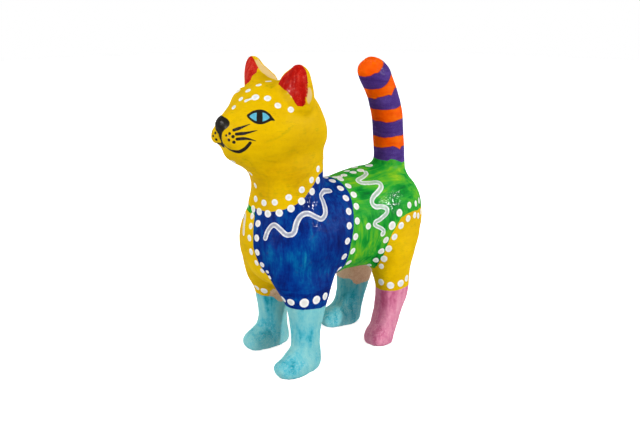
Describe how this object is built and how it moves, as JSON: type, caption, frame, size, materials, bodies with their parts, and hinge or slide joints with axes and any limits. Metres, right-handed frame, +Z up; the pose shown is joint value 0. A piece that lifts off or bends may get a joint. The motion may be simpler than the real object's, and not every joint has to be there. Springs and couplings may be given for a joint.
{
  "type": "papier-mache cat figurine",
  "caption": "Hand-painted papier-mache cat that stands on its paws with its head and tail up, a table ornament.",
  "frame": {"origin": "on the ground under the middle of the bounding box", "axes": "+Z up; the cat faces -Y and its left side is +X"},
  "size_m": [0.071, 0.1626, 0.2042],
  "materials": {
    "painted_paper": "satin hand paint over pasted paper, in blocks of yellow, blue, green, purple, orange, red, pink and light blue"
  },
  "bodies": {
    "root": {"cat": "painted_paper"}
  },
  "joints": []
}
